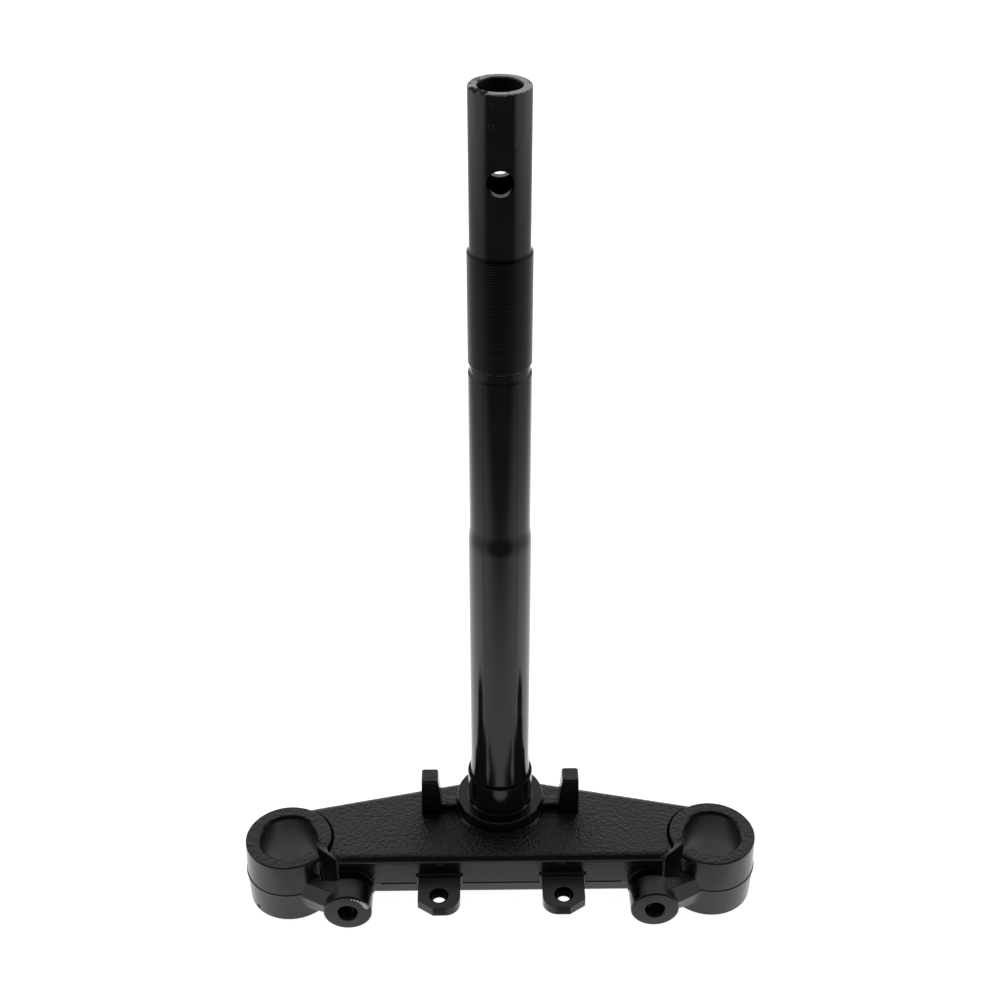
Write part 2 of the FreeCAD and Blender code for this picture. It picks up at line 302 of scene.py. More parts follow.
def make_worn_spot() -> None:
    """Group: a ragged spot round a point, for chips, rust and left paint."""
    board, given, wanted = new_group(
        Effect.WORN_SPOT,
        {"Place": "NodeSocketVector", "Centre": "NodeSocketVector", "Radius": "NodeSocketFloat",
         "Ragged": "NodeSocketFloat"},
        ["Mask"],
    )
    reach = board.vector_maths("DISTANCE", given["Place"], given["Centre"]).outputs["Value"]
    share = board.maths("DIVIDE", reach, given["Radius"])
    swing = board.maths("SUBTRACT", board.noise(given["Place"], per_mm=0.9, detail=4.0, rough=0.7), 0.5)
    share = board.maths("ADD", share, board.maths("MULTIPLY", swing, given["Ragged"]))
    board.feed(wanted["Mask"], board.ramp(share, low=1.05, high=0.9))


@dataclass(frozen=True)
class Spot:
    """A worn place: where it is and how far it reaches, in millimetres."""

    centre: tuple[float, float, float]
    radius: float
    ragged: float = 1.2

    def mask(self, board: Board, place: Socket) -> Socket:
        """Draws the spot on a material.

        Args:
            board: the material's nodes.
            place: the surface point in metres.

        Returns:
            A value that is 1 inside the spot.
        """
        centre = tuple(MM * value for value in self.centre)
        inputs = {"Place": place, "Centre": centre, "Radius": MM * self.radius, "Ragged": self.ragged}
        return board.group(Effect.WORN_SPOT, inputs).outputs["Mask"]


@dataclass(frozen=True)
class Band:
    """A stretch of lengths with soft ends, in millimetres."""

    low: float
    high: float
    low_soft: float = 1.0
    high_soft: float = 1.0

    def mask(self, board: Board, length: Socket) -> Socket:
        """Marks the stretch on a material.

        Args:
            board: the material's nodes.
            length: the length in metres.

        Returns:
            A value that is 1 between the ends.
        """
        after = board.beyond(length, self.low, self.low_soft)
        return board.maths("MULTIPLY", after, board.within(length, self.high, self.high_soft))


@dataclass(frozen=True)
class Paint:
    """Gloss black paint over steel, with the metal and rust that show where it is gone."""

    name: str
    ior: float = 1.5
    black: Colour = (0.0045, 0.0045, 0.0047, 1.0)
    metal: Colour = (0.46, 0.44, 0.42, 1.0)
    rust: Colour = (0.034, 0.018, 0.010, 1.0)
    metal_roughness: float = 0.38
    rust_roughness: float = 0.75
    gloss: float = 0.11
    dulling: float = 0.06
    skin_height: float = 0.012
    edge_samples: int = 6

    def start(self) -> tuple[bpy.types.Material, Board, bpy.types.Node, Socket]:
        """Makes the material with its shader.

        Returns:
            The material, its board, the shader node, and the surface point in the part's frame.
        """
        material = bpy.data.materials.new(self.name)
        material.use_nodes = True
        material.node_tree.nodes.clear()
        board = Board(material.node_tree)
        shader = board.add("ShaderNodeBsdfPrincipled", {"IOR": self.ior})
        board.add("ShaderNodeOutputMaterial", {"Surface": shader.outputs["BSDF"]})
        place = board.add("ShaderNodeTexCoord").outputs["Object"]
        return material, board, shader, place

    def skin(self, board: Board, place: Socket) -> tuple[Socket, Socket]:
        """Adds the paint film.

        Args:
            board: the material's nodes.
            place: the surface point in metres.

        Returns:
            The film's height and its roughness.
        """
        inputs = {"Place": place, "Gloss": self.gloss, "Dulling": self.dulling}
        group = board.group(Effect.PAINT_SKIN, inputs)
        return group.outputs["Height"], group.outputs["Roughness"]

    def worn(self, board: Board, place: Socket, spots: tuple[Spot, ...]) -> Socket:
        """Mask of several spots."""
        return board.either([spot.mask(board, place) for spot in spots])

    def wear(self, board: Board, shader: bpy.types.Node, bare: Socket, rusty: Socket | None,
             roughness: Socket, sound: Value, shade_and_grime: Socket) -> None:
        """Feeds colour, metal and roughness from the masks of what shows.

        Args:
            board: the material's nodes.
            shader: its Principled shader.
            bare: mask of bare metal.
            rusty: mask of rust, if there is any.
            roughness: roughness of the sound paint.
            sound: colour of the sound paint.
            shade_and_grime: mask of painted shade and of dirt, which takes the gloss and the reflection off
                the paint.
        """
        colour = board.blend(bare, sound, self.metal)
        metallic = board.maths("MAXIMUM", bare, shade_and_grime)
        rough = board.plus(roughness, bare, self.metal_roughness)
        if rusty is not None:
            colour = board.blend(rusty, colour, self.rust)
            metallic = board.maths("MULTIPLY", metallic, board.without(rusty))
            rough = board.plus(rough, rusty, self.rust_roughness)
        board.feed(shader.inputs["Base Color"], colour)
        board.feed(shader.inputs["Metallic"], metallic)
        board.feed(shader.inputs["Roughness"], rough)

    def bump(self, board: Board, shader: bpy.types.Node, height: Socket, rise: float,
             edge: float = 0.0) -> None:
        """Feeds the shader's normal from a height.

        Args:
            board: the material's nodes.
            shader: its Principled shader.
            height: the height, from 0 to about 1.
            rise: the full rise in millimetres.
            edge: radius in millimetres that the paint rounds sharp edges to.
        """
        bump = board.add("ShaderNodeBump", {"Strength": 1.0, "Distance": MM * rise, "Height": height})
        if edge:
            round_edge = board.add("ShaderNodeBevel", {"Radius": MM * edge}, samples=self.edge_samples)
            board.feed(bump.inputs["Normal"], round_edge.outputs["Normal"])
        board.feed(shader.inputs["Normal"], bump.outputs["Normal"])


@dataclass(frozen=True)
class StemPaint(Paint):
    """The stem's paint, worn to the metal on its top rim, with painted shade in the cross hole. Sizes in
    millimetres.
    """

    name: str = "stem_black_gloss"
    rim_height: float = 341.25
    rim_fade: float = 0.25
    rim_swing: float = 1.6
    rim_lumps_per_mm: float = 0.8
    inner_wall: Colour = (0.030, 0.024, 0.019, 1.0)
    inner_reach: float = 8.5
    inner_soft: float = 0.15
    inner_dullness: float = 0.4
    thread: Band = Band(230.6, 278.6)
    thread_dullness: float = 0.05
    thread_grime: float = 0.65
    # Painted shade: the inner part of the cross hole's wall loses its gloss and its reflection.
    hole: Band = Band(302.0, 315.2)
    hole_reach: float = 9.9
    hole_soft: float = 0.4
    hole_front_soft: float = 1.0
    hole_painted_shade: float = 0.9
    # A thin band on the foot's step is darkened: its gloss and its reflection are taken off.
    step: Band = Band(15.9, 16.3)
    step_darkening: float = 0.95
    step_dullness: float = 0.5
    chip_depth: float = 8.0
    kept_paint: tuple[Spot, ...] = (
        Spot((-8.8, 5.6, 341.6), 2.2), Spot((11.4, 2.1, 341.5), 1.9), Spot((2.8, -8.9, 341.6), 0.8),
        Spot((-10.6, 1.0, 341.6), 1.0), Spot((-4.6, 9.6, 341.6), 0.9),
    )
    rust_spots: tuple[Spot, ...] = (
        Spot((-8.2, -6.4, 341.9), 2.2), Spot((-5.8, -8.8, 341.9), 1.7), Spot((-10.2, -4.4, 341.8), 1.4),
    )
    chips: tuple[Spot, ...] = (
        Spot((-3.2, -11.3, 337.9), 0.5), Spot((-3.4, -11.25, 329.5), 1.1), Spot((6.1, -10.04, 323.2), 1.1),
        Spot((-2.7, -12.41, 208.0), 0.9), Spot((2.9, -13.0, 51.0), 0.3), Spot((9.6, -9.7, 58.0), 0.45),
    )

    def bare_rim(self, board: Board, place: Socket, level: Socket) -> Socket:
        """Marks the bare metal of the top rim.

        Args:
            board: the material's nodes.
            place: the surface point in metres.
            level: its height.

        Returns:
            A value that is 1 on the metal.
        """
        lumps = board.noise(place, self.rim_lumps_per_mm, detail=4.0, rough=0.7)
        ragged_level = board.plus(level, board.maths("SUBTRACT", lumps, 0.5), MM * self.rim_swing)
        rim = board.beyond(ragged_level, self.rim_height + self.rim_fade, 2 * self.rim_fade)
        kept = self.worn(board, place, self.kept_paint)
        return board.maths("MULTIPLY", rim, board.without(kept))

    def front_hole(self, board: Board, place: Socket, level: Socket, reach: Socket) -> Socket:
        """Marks the wall of the cross hole in the stem's front, where shade is painted.

        Args:
            board: the material's nodes.
            place: the surface point in metres.
            level: its height.
            reach: its distance from the stem's axis.

        Returns:
            A value that is 1 on the wall.
        """
        inside = board.within(reach, self.hole_reach, self.hole_soft)
        ahead = board.within(board.axis(place, "Y"), -self.hole_front_soft, 2 * self.hole_front_soft)
        return board.product([inside, self.hole.mask(board, level), ahead])

    def build(self) -> bpy.types.Material:
        """Makes the material.

        Returns:
            The finished material.
        """
        material, board, shader, place = self.start()
        height, roughness = self.skin(board, place)
        level = board.axis(place, "Z")
        flat = board.vector_maths("MULTIPLY", place, (1.0, 1.0, 0.0)).outputs["Vector"]
        reach = board.vector_maths("LENGTH", flat, (0.0, 0.0, 0.0)).outputs["Value"]
        inner = board.within(reach, self.inner_reach, self.inner_soft)
        thread = self.thread.mask(board, level)
        step = self.step.mask(board, level)
        hole = self.front_hole(board, place, level, reach)
        dull = ((inner, self.inner_dullness), (step, self.step_dullness), (thread, self.thread_dullness))
        for mask, amount in dull:
            roughness = board.plus(roughness, mask, amount)
        # Dirt on the thread, painted shade in the cross hole and a darkened band on the foot's step lose
        # their reflection.
        shade_and_grime_marks = ((thread, self.thread_grime), (hole, self.hole_painted_shade), (step, self.step_darkening))
        shade_and_grime = board.either([board.maths("MULTIPLY", mask, amount) for mask, amount in shade_and_grime_marks])
        rim = self.bare_rim(board, place, level)
        rust = self.worn(board, place, self.rust_spots)
        sound = board.blend(inner, self.black, self.inner_wall)
        self.wear(board, shader, rim, rust, roughness, sound, shade_and_grime)
        chips = self.worn(board, place, self.chips)
        self.bump(board, shader, board.plus(height, chips, -self.chip_depth), self.skin_height)
        return material


@dataclass(frozen=True)
class YokePaint(Paint):
    """The yoke's paint on a sand-cast skin, chipped on one ear, dull in the bores, with painted shade in
    slits, tab holes and ring feet. Sizes in millimetres.
    """

    name: str = "yoke_black_cast"
    gloss: float = 0.16
    dulling: float = 0.08
    grain_height: float = 0.8
    lumps_per_mm: float = 0.55
    grit_per_mm: float = 1.9
    grit_share: float = 0.35
    side_grain: float = 0.08
    level_range: Span = (0.7, 0.97)
    edge_r: float = 0.8
    bore_centre: Span = (98.2, -21.6)
    bore_reach: float = 13.4
    bore_soft: float = 0.2
    bore_dullness: float = 0.2
    # Painted shade on the slits' walls.
    slit_across_deg: float = -48.0
    slit_offset: float = -4.4
    slit_half: float = 3.3
    slit_start: float = 9.0
    slit_span: Band = Band(13.15, 24.0, 0.1, 1.0)
    slit_soft: float = 0.1
    slit_start_soft: float = 1.0
    # Painted shade on the walls of the tab holes.
    tab_hole_centre: Span = (28.4, -46.7)
    tab_hole_reach: float = 4.35
    tab_hole_soft: float = 0.1
    # Painted shade in the corner at each ring's foot.
    foot_reach: Band = Band(19.75, 20.7, 0.1, 0.6)
    foot_levels: Band = Band(-8.2, -6.5, 1.0, 0.3)
    foot_inset: float = -12.0
    foot_inset_soft: float = 2.0
    front_level: float = -35.5
    front_soft: float = 1.0
    lower_level: float = -11.0
    lower_soft: float = 1.5
    front_grain: float = 0.12
    front_dullness: float = 0.2
    dust: Colour = (0.046, 0.046, 0.049, 1.0)
    # Painted shade in the slits, the tab holes and the rings' foot corners, and the nick, lose gloss and
    # reflection.
    shade_and_grime_dullness: float = 0.85
    shade_and_grime: float = 0.97
    chip_depth: float = 0.2
    chips: tuple[Spot, ...] = (
        Spot((-67.8, -50.0, -17.0), 0.4), Spot((-66.4, -50.0, -17.4), 0.5), Spot((-65.1, -50.0, -18.1), 0.6),
        Spot((-63.8, -50.0, -18.9), 0.75), Spot((-62.9, -50.0, -19.7), 0.9), Spot((-62.1, -50.0, -20.7), 1.2),
        Spot((-61.5, -50.0, -21.6), 1.3), Spot((-61.1, -50.0, -22.4), 0.9),
    )
    nicks: tuple[Spot, ...] = (
        Spot((-112.95, -34.77, -37.23), 1.1),
    )

    def grain(self, board: Board, place: Socket, level_share: Socket, dusty: Socket) -> Socket:
        """Makes the sand-cast skin, lumps and fine grit.

        Args:
            board: the material's nodes.
            place: the surface point in metres.
            level_share: how level the face is, from 0 to 1; upright faces are smoother.
            dusty: mask of the level faces in front of the bridge, which are smoother too.

        Returns:
            The skin's height, from 0 to about 1.
        """
        lumps = board.noise(place, self.lumps_per_mm)
        grit = board.noise(place, self.grit_per_mm, detail=3.0, rough=0.6)
        by_slope = board.ramp(level_share, *self.level_range, self.side_grain, 1.0)
        by_place = board.ramp(dusty, 0.0, 1.0, 1.0, self.front_grain)
        return board.product([board.plus(lumps, grit, self.grit_share), by_slope, by_place])

    def from_axis(self, board: Board, place: Socket, centre: Span) -> tuple[Socket, Socket]:
        """Measures from an upright axis in plan, the same on both sides.

        Args:
            board: the material's nodes.
            place: the surface point in metres.
            centre: the right-hand axis in millimetres.

        Returns:
            The offsets outwards and backwards.
        """
        out = board.maths("SUBTRACT", board.maths("ABSOLUTE", board.axis(place, "X")), MM * centre[0])
        return out, board.maths("SUBTRACT", board.axis(place, "Y"), MM * centre[1])

    def reach(self, board: Board, out: Socket, back: Socket) -> Socket:
        """Length of two offsets at right angles."""
        squares = [board.maths("POWER", offset, 2.0) for offset in (out, back)]
        return board.maths("SQRT", board.maths("ADD", *squares))

    def slits(self, board: Board, out: Socket, back: Socket, reach: Socket) -> Socket:
        """Marks the slits' walls, where shade is painted.

        Args:
            board: the material's nodes.
            out: offset outwards from the fork bore's axis.
            back: offset backwards from it.
            reach: distance from it.

        Returns:
            A value that is 1 on the walls.
        """
        turn = math.radians(self.slit_across_deg)
        across = board.plus(board.maths("MULTIPLY", out, math.cos(turn)), back, math.sin(turn))
        along = board.plus(board.maths("MULTIPLY", out, math.sin(turn)), back, -math.cos(turn))
        offset = board.maths("ABSOLUTE", board.maths("SUBTRACT", across, MM * self.slit_offset))
        walls = board.within(offset, self.slit_half, self.slit_soft)
        inboard = board.beyond(along, self.slit_start, self.slit_start_soft)
        return board.product([walls, inboard, self.slit_span.mask(board, reach)])

    def ring_foot(self, board: Board, out: Socket, reach: Socket, level: Socket) -> Socket:
        """Marks the corner where a ring's inboard wall meets the bridge, where shade is painted.

        Args:
            board: the material's nodes.
            out: offset outwards from the fork bore's axis.
            reach: distance from it.
            level: height of the surface point.

        Returns:
            A value that is 1 in the corner.
        """
        return board.product([
            self.foot_reach.mask(board, reach),
            self.foot_levels.mask(board, level),
            board.within(out, self.foot_inset, self.foot_inset_soft),
        ])

    def build(self) -> bpy.types.Material:
        """Makes the material.

        Returns:
            The finished material.
        """
        material, board, shader, place = self.start()
        height, roughness = self.skin(board, place)
        level = board.axis(place, "Z")
        lower = board.within(level, self.lower_level - self.lower_soft, 2 * self.lower_soft)
        ahead = board.within(board.axis(place, "Y"), self.front_level - self.front_soft, 2 * self.front_soft)
        facing = board.add("ShaderNodeNewGeometry").outputs["Normal"]
        level_share = board.maths("ABSOLUTE", board.axis(facing, "Z"))
        dusty = board.product([ahead, lower, board.ramp(level_share, *self.level_range)])
        out, back = self.from_axis(board, place, self.bore_centre)
        reach = self.reach(board, out, back)
        bores = board.within(reach, self.bore_reach, self.bore_soft)
        slits = board.maths("MULTIPLY", self.slits(board, out, back, reach), lower)
        from_hole = self.reach(board, *self.from_axis(board, place, self.tab_hole_centre))
        holes = board.within(from_hole, self.tab_hole_reach, self.tab_hole_soft)
        nicks = self.worn(board, place, self.nicks)
        # Painted shade in the slits, the tab holes and the rings' foot corners, with the nick.
        shade_and_grime_marks = board.either([slits, holes, nicks, self.ring_foot(board, out, reach, level)])
        dull = ((dusty, self.front_dullness), (bores, self.bore_dullness), (shade_and_grime_marks, self.shade_and_grime_dullness))
        for mask, amount in dull:
            roughness = board.plus(roughness, mask, amount)
        chips = self.worn(board, place, self.chips)
        sound = board.blend(dusty, self.black, self.dust)
        self.wear(board, shader, chips, None, roughness, sound, board.maths("MULTIPLY", shade_and_grime_marks, self.shade_and_grime))
        grain = self.grain(board, place, level_share, dusty)
        cast = board.maths("MULTIPLY", grain, board.without(bores))
        height = board.plus(cast, height, self.skin_height / self.grain_height)
        height = board.plus(height, board.either([chips, nicks]), -self.chip_depth)
        self.bump(board, shader, height, self.grain_height, self.edge_r)
        return material


def arc(centre: Span, radius: float, start_deg: float, end_deg: float, steps: int) -> Profile:
    """Points along an arc in the (radius, height) plane.

    Args:
        centre: the arc's centre.
        radius: its radius.
        start_deg: angle of the first point, from the outward direction towards up.
        end_deg: angle of the last point.
        steps: number of chords.

    Returns:
        The points from start to end.
    """
    angles = [math.radians(start_deg + (end_deg - start_deg) * i / steps) for i in range(steps + 1)]
    return [(centre[0] + radius * math.cos(angle), centre[1] + radius * math.sin(angle)) for angle in angles]


def soften(points: Profile, radius: float, steps: int = 3, least_deg: float = 6.0,
           most_share: float = 0.3, hold: float = 1.5) -> Profile:
    """Rounds the corners of an outline and holds the straights beside them.

    Args:
        points: the outline; its two ends stay as they are.
        radius: radius of the rounding, made smaller on short sides.
        steps: number of chords in a rounding.
        least_deg: corners that turn less are kept.
        most_share: how much of a side a rounding may take up.
        hold: how far from the corner a straight is held, in lengths of the rounding.

    Returns:
        The softened outline.
    """
    result = points[:1]
    for before, corner, after in zip(points, points[1:], points[2:]):
        back = Vector(before) - Vector(corner)
        ahead = Vector(after) - Vector(corner)
        turn = math.pi - back.angle(ahead)
        if math.degrees(turn) < least_deg:
            result.append(corner)
            continue
        reach = min(radius * math.tan(turn / 2), most_share * back.length, most_share * ahead.length)
        start = back.normalized() * reach
        end = ahead.normalized() * reach
        middle = Vector(corner)
        result.append(tuple(middle + hold * start))
        for i in range(steps + 1):
            share = i / steps
            result.append(tuple(middle + (1 - share) ** 2 * start + share ** 2 * end))
        result.append(tuple(middle + hold * end))
    return result + points[-1:]


def smooth(mesh: bpy.types.Mesh) -> None:
    """Shades a mesh smooth but for its sharp edges."""
    mesh.shade_smooth()
    mesh.set_sharp_from_angle(angle=math.radians(SMOOTH_DEG))


def new_object(name: str, work: bmesh.types.BMesh) -> bpy.types.Object:
    """Turns a bmesh into an object in the scene.

    Args:
        name: the object's name.
        work: the mesh, which is freed.

    Returns:
        The new object.
    """
    mesh = bpy.data.meshes.new(name)
    work.to_mesh(mesh)
    work.free()
    smooth(mesh)
    piece = bpy.data.objects.new(name, mesh)
    bpy.context.scene.collection.objects.link(piece)
    return piece


def close_rows(work: bmesh.types.BMesh, rows: list[list[bmesh.types.BMVert]]) -> None:
    """Skins rings of points into a closed skin of quads.

    Args:
        work: the mesh.
        rows: the rings in order; the last is joined to the first.
    """
    for lower, upper in zip(rows, rows[1:] + rows[:1]):
        for i in range(len(lower)):
            work.faces.new((lower[i - 1], lower[i], upper[i], upper[i - 1]))


@dataclass
class SteeringStem:
    """Turned hollow stem whose thread is cut as a true helix. Sizes in millimetres."""

    paint: StemPaint
    height: float = 341.6
    foot_level: float = -29.9
    bore_d: float = 16.5
    bore_chamfer: float = 0.6
    post_d: float = 23.5
    post_length: float = 63.0
    post_chamfer: float = 0.5
    cross_hole_d: float = 10.0
    cross_hole_drop: float = 33.0
    cross_hole_chamfer: float = 0.4
    thread_d: float = 25.4
    thread_length: float = 48.0
    thread_chamfer: float = 0.9
    thread_pitch: float = 25.4 / 24
    thread_depth: float = 0.08
    rows_per_turn: int = 10
    relief_d: float = 23.8
    relief_length: float = 3.4
    seat_d: float = 25.4
    seat_length: float = 73.7
    seat_chamfer: float = 0.7
    shank_d: float = 26.5
    shank_chamfer: float = 6.5
    foot_d: float = 29.8
    foot_height: float = 15.5
    flare_height: float = 11.0
    flare_step: float = 1.0
    flare_toe: float = 0.45
    foot_root: float = 0.6
    collar_d: float = 40.2
    collar_height: float = 6.3
    collar_edge: float = 0.6
    collar_edge_steps: int = 16
    spigot_d: float = 27.0
    spigot_chamfer: float = 1.0
    edge_r: float = 0.4
    taper_r: float = 45.0
    taper_steps: int = 6
    taper_least_deg: float = 2.0
    columns: int = 120

    @property
    def thread_top(self) -> float:
        """Level where the thread ends and the post begins."""
        return self.height - self.post_length

    @property
    def thread_foot(self) -> float:
        """Level where the relief ends and the thread begins."""
        return self.thread_top - self.thread_length

    def lower_profile(self) -> Profile:
        """Draws the outline from the spigot's end up to the thread's foot.

        Returns:
            The outline's points, from the bottom up.
        """
        spigot, collar, foot = self.spigot_d / 2, self.collar_d / 2, self.foot_d / 2
        shank, seat, relief = self.shank_d / 2, self.seat_d / 2, self.relief_d / 2
        seat_top = self.thread_foot - self.relief_length
        seat_foot = seat_top - self.seat_length
        points = [(spigot - self.spigot_chamfer, self.foot_level)]
        points += [(spigot, self.foot_level + self.spigot_chamfer)]
        points += [(spigot, -self.collar_height), (collar, -self.collar_height)]
        edge_centre = (collar - self.collar_edge, -self.collar_edge)
        points += arc(edge_centre, self.collar_edge, 0, 90, self.collar_edge_steps)
        points += [(foot + self.foot_root, 0.0), (foot, self.foot_root)]
        points += [(foot, self.foot_height), (shank + self.flare_toe, self.foot_height + self.flare_step)]
        points += [(shank, self.foot_height + self.flare_height)]
        taper = [points[-1], (shank, seat_foot - self.shank_chamfer), (seat, seat_foot), (seat, seat_top)]
        points += soften(taper, self.taper_r, self.taper_steps, self.taper_least_deg)[1:-1]
        points += [(seat, seat_top - self.seat_chamfer), (relief, seat_top), (relief, self.thread_foot)]
        return soften([(self.bore_d / 2, self.foot_level)] + points, self.edge_r)[1:-1]

    def thread_radius(self, height: float, turn: float) -> float:
        """Finds the radius of the thread's flank.

        Args:
            height: level on the stem.
            turn: share of a full turn round the stem.

        Returns:
            The radius, held inside the chamfers at the thread's ends.
        """
        crest, post, relief = self.thread_d / 2, self.post_d / 2, self.relief_d / 2
        groove = 0.5 - 0.5 * math.cos(2 * math.pi * (height / self.thread_pitch - turn))
        cut = crest - self.thread_depth * groove ** 2
        upper = post + (self.thread_top - height) * (crest - post) / self.thread_chamfer
        lower = relief + (height - self.thread_foot) * (crest - relief) / self.thread_chamfer
        return min(cut, upper, lower)

    def upper_profile(self) -> Profile:
        """Draws the outline from the post's foot over the rim and down the bore.

        Returns:
            The outline's points, from the post's foot to the bore's lower end.
        """
        post, bore = self.post_d / 2, self.bore_d / 2
        points = [(post, self.thread_top), (post, self.height - self.post_chamfer)]
        points += [(post - self.post_chamfer, self.height)]
        points += [(bore + self.bore_chamfer, self.height), (bore, self.height - self.bore_chamfer)]
        points += [(bore, self.foot_level)]
        return [(post, self.thread_top + self.edge_r)] + soften(points, self.edge_r)[1:]

    def ring(self, work: bmesh.types.BMesh, radius: Callable[[float], float],
             height: float) -> list[bmesh.types.BMVert]:
        """Sets a level ring of points.

        Args:
            work: the mesh.
            radius: the radius as a function of the share of a turn.
            height: the ring's level.

        Returns:
            The ring's points.
        """
        points = []
        for i in range(self.columns):
            turn = i / self.columns
            reach = MM * radius(turn)
            angle = 2 * math.pi * turn
            points.append(work.verts.new((reach * math.cos(angle), reach * math.sin(angle), MM * height)))
        return points

    def rings(self, work: bmesh.types.BMesh, profile: Profile) -> list[list[bmesh.types.BMVert]]:
        """Round rings of points for each point of an outline."""
        return [self.ring(work, lambda turn, r=r: r, z) for r, z in profile]

    def turn_body(self) -> bpy.types.Object:
        """Turns the stem with its thread.

        Returns:
            The stem before the cross hole.
        """
        work = bmesh.new()
        rows = self.rings(work, self.lower_profile())
        steps = round(self.thread_length / self.thread_pitch * self.rows_per_turn)
        for i in range(steps + 1):
            level = self.thread_foot + self.thread_length * i / steps
            rows.append(self.ring(work, lambda turn, z=level: self.thread_radius(z, turn), level))
        rows += self.rings(work, self.upper_profile())
        close_rows(work, rows)
        bmesh.ops.recalc_face_normals(work, faces=work.faces)
        return new_object("steering_stem_turned", work)

    def cross_drill(self) -> bpy.types.Object:
        """Makes a cutter for the cross hole.

        Returns:
            The cutter, wider where it breaks the post's surface.
        """
        hole, post = self.cross_hole_d / 2, self.post_d / 2
        chamfer = self.cross_hole_chamfer
        points = [(hole + 2 * chamfer, post + chamfer), (hole, post - chamfer)]
        points += [(radius, -along) for radius, along in reversed(points)]
        work = bmesh.new()
        rows = self.rings(work, points)
        close_rows(work, rows)
        work.faces.ensure_lookup_table()
        bmesh.ops.delete(work, geom=list(work.faces)[-self.columns:], context="FACES_ONLY")
        work.faces.new(rows[0])
        work.faces.new(rows[-1])
        bmesh.ops.recalc_face_normals(work, faces=work.faces)
        work.transform(Matrix.Rotation(math.radians(90), 4, "X"))
        bmesh.ops.translate(work, verts=work.verts, vec=(0, 0, MM * (self.height - self.cross_hole_drop)))
        return new_object("stem_cross_drill", work)

    def build(self) -> bpy.types.Object:
        """Builds the stem and lets it stand for its solid.

        Returns:
            The painted stem.
        """
        stem = self.turn_body()
        drill = self.cross_drill()
        cut = stem.modifiers.new("cross_hole", "BOOLEAN")
        cut.operation = "DIFFERENCE"
        cut.solver = "EXACT"
        cut.object = drill
        depsgraph = bpy.context.evaluated_depsgraph_get()
        drilled = bpy.data.meshes.new_from_object(stem.evaluated_get(depsgraph))
        stem.modifiers.clear()
        stem.data = drilled
        smooth(drilled)
        bpy.data.objects.remove(drill)
        drilled.materials.clear()
        drilled.materials.append(self.paint.build())
        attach(stem, "root")
        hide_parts(Node.STEM.value)
        log.info("%s: %d faces", stem.name, len(drilled.polygons))
        return stem


@dataclass
class LowerYoke:
    """Cast yoke, which keeps its solid and gets the cast paint."""

    paint: YokePaint

    def dress(self) -> bpy.types.Object:
        """Gives the solid its paint.

        Returns:
            The yoke's object.
        """
        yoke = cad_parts[Node.YOKE.value]
        yoke.data.materials.clear()
        yoke.data.materials.append(self.paint.build())
        log.info("%s: %d faces", yoke.name, len(yoke.data.polygons))
        return yoke


